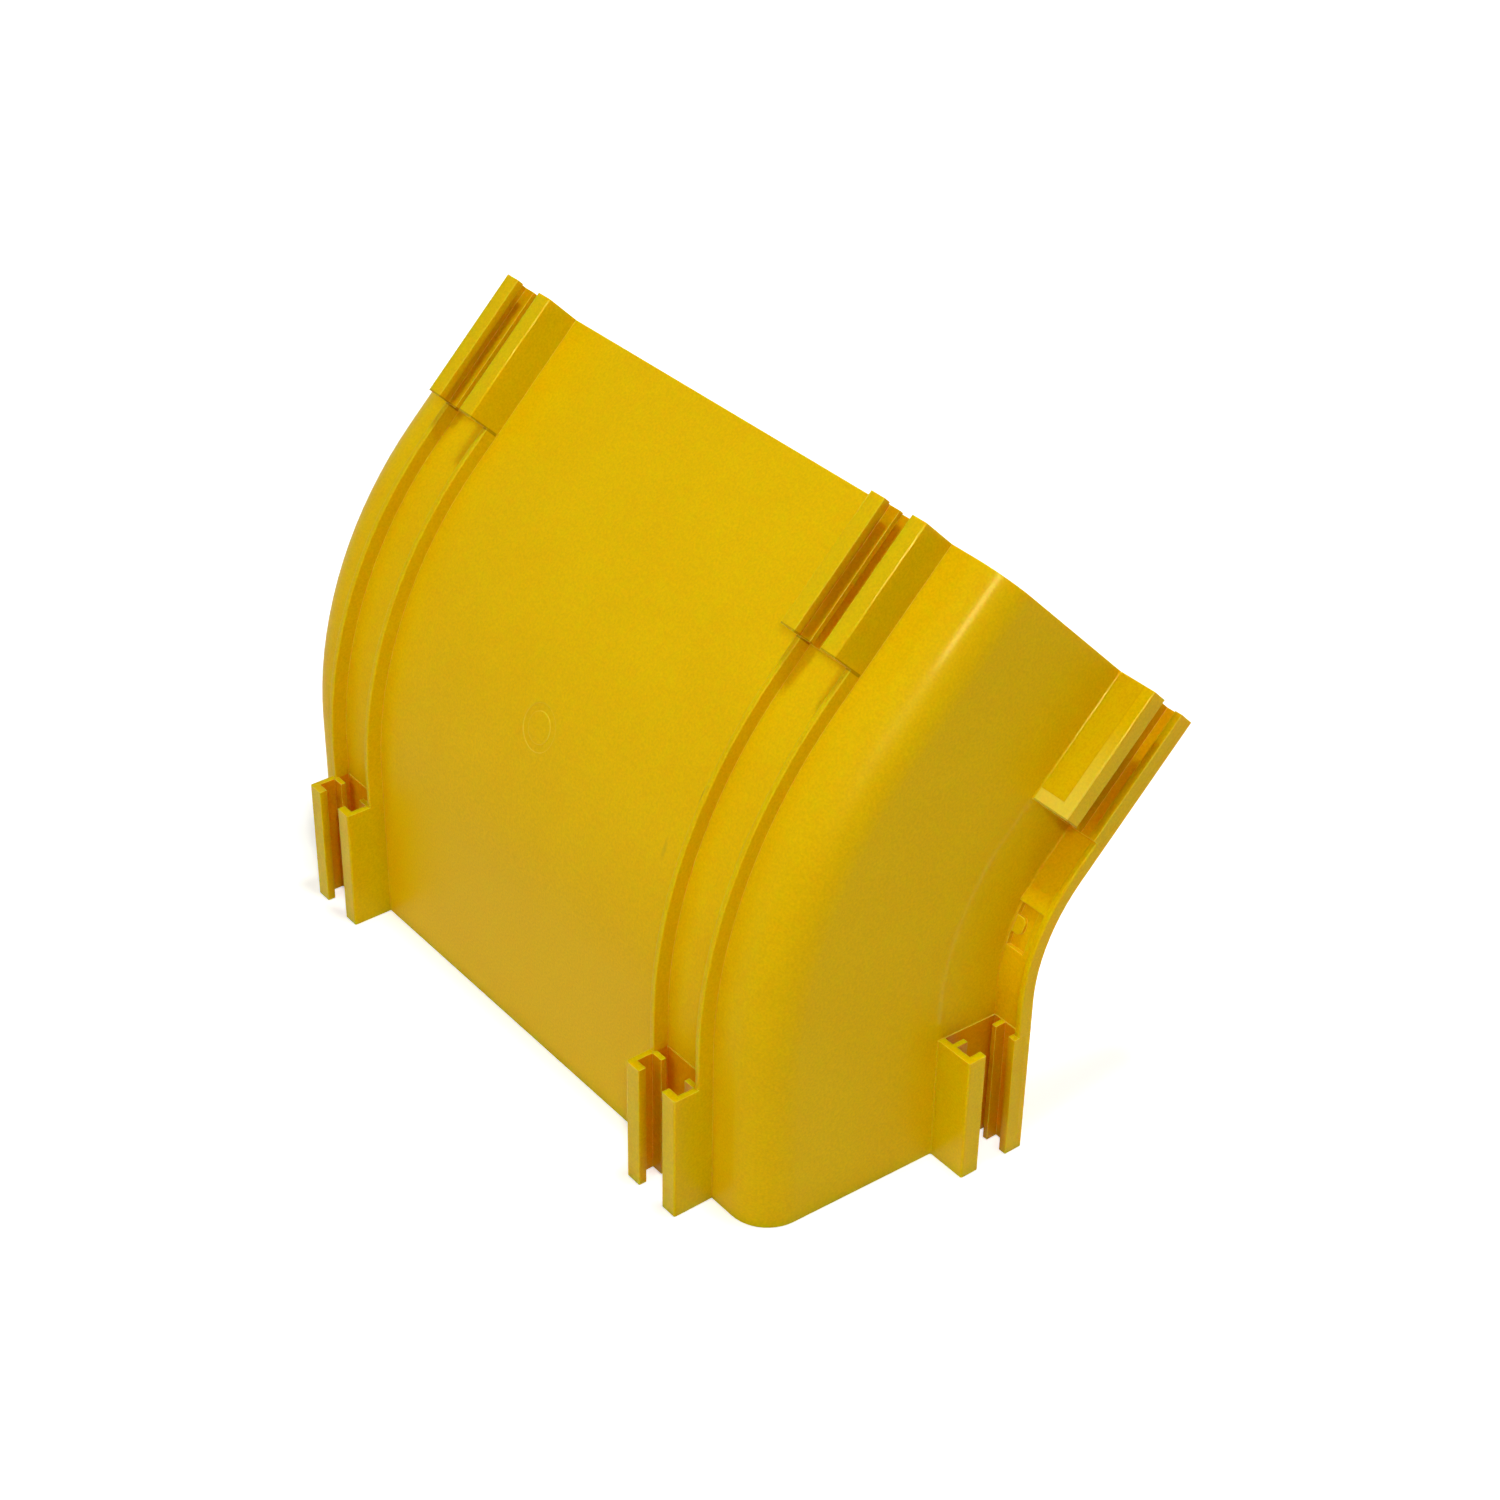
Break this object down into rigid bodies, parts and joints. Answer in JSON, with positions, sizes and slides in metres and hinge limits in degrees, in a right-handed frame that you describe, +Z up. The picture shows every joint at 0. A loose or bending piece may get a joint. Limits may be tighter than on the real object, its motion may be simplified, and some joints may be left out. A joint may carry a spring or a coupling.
{
  "type": "fibre raceway bend",
  "caption": "Yellow moulded U-shaped fibre raceway fitting that turns a duct 45 degrees towards its open side, with T-slots at its ends for slide-in joiners.",
  "frame": {"origin": "the middle of the base's outer edge on the lower end face", "axes": "+X across the trough, +Y from the base to the open side of the lower straight, +Z up the lower straight"},
  "size_m": [0.3366, 0.191, 0.2482],
  "materials": {
    "yellow_moulding": "satin, as moulded"
  },
  "bodies": {
    "root": {"raceway_bend": "yellow_moulding"}
  },
  "joints": []
}
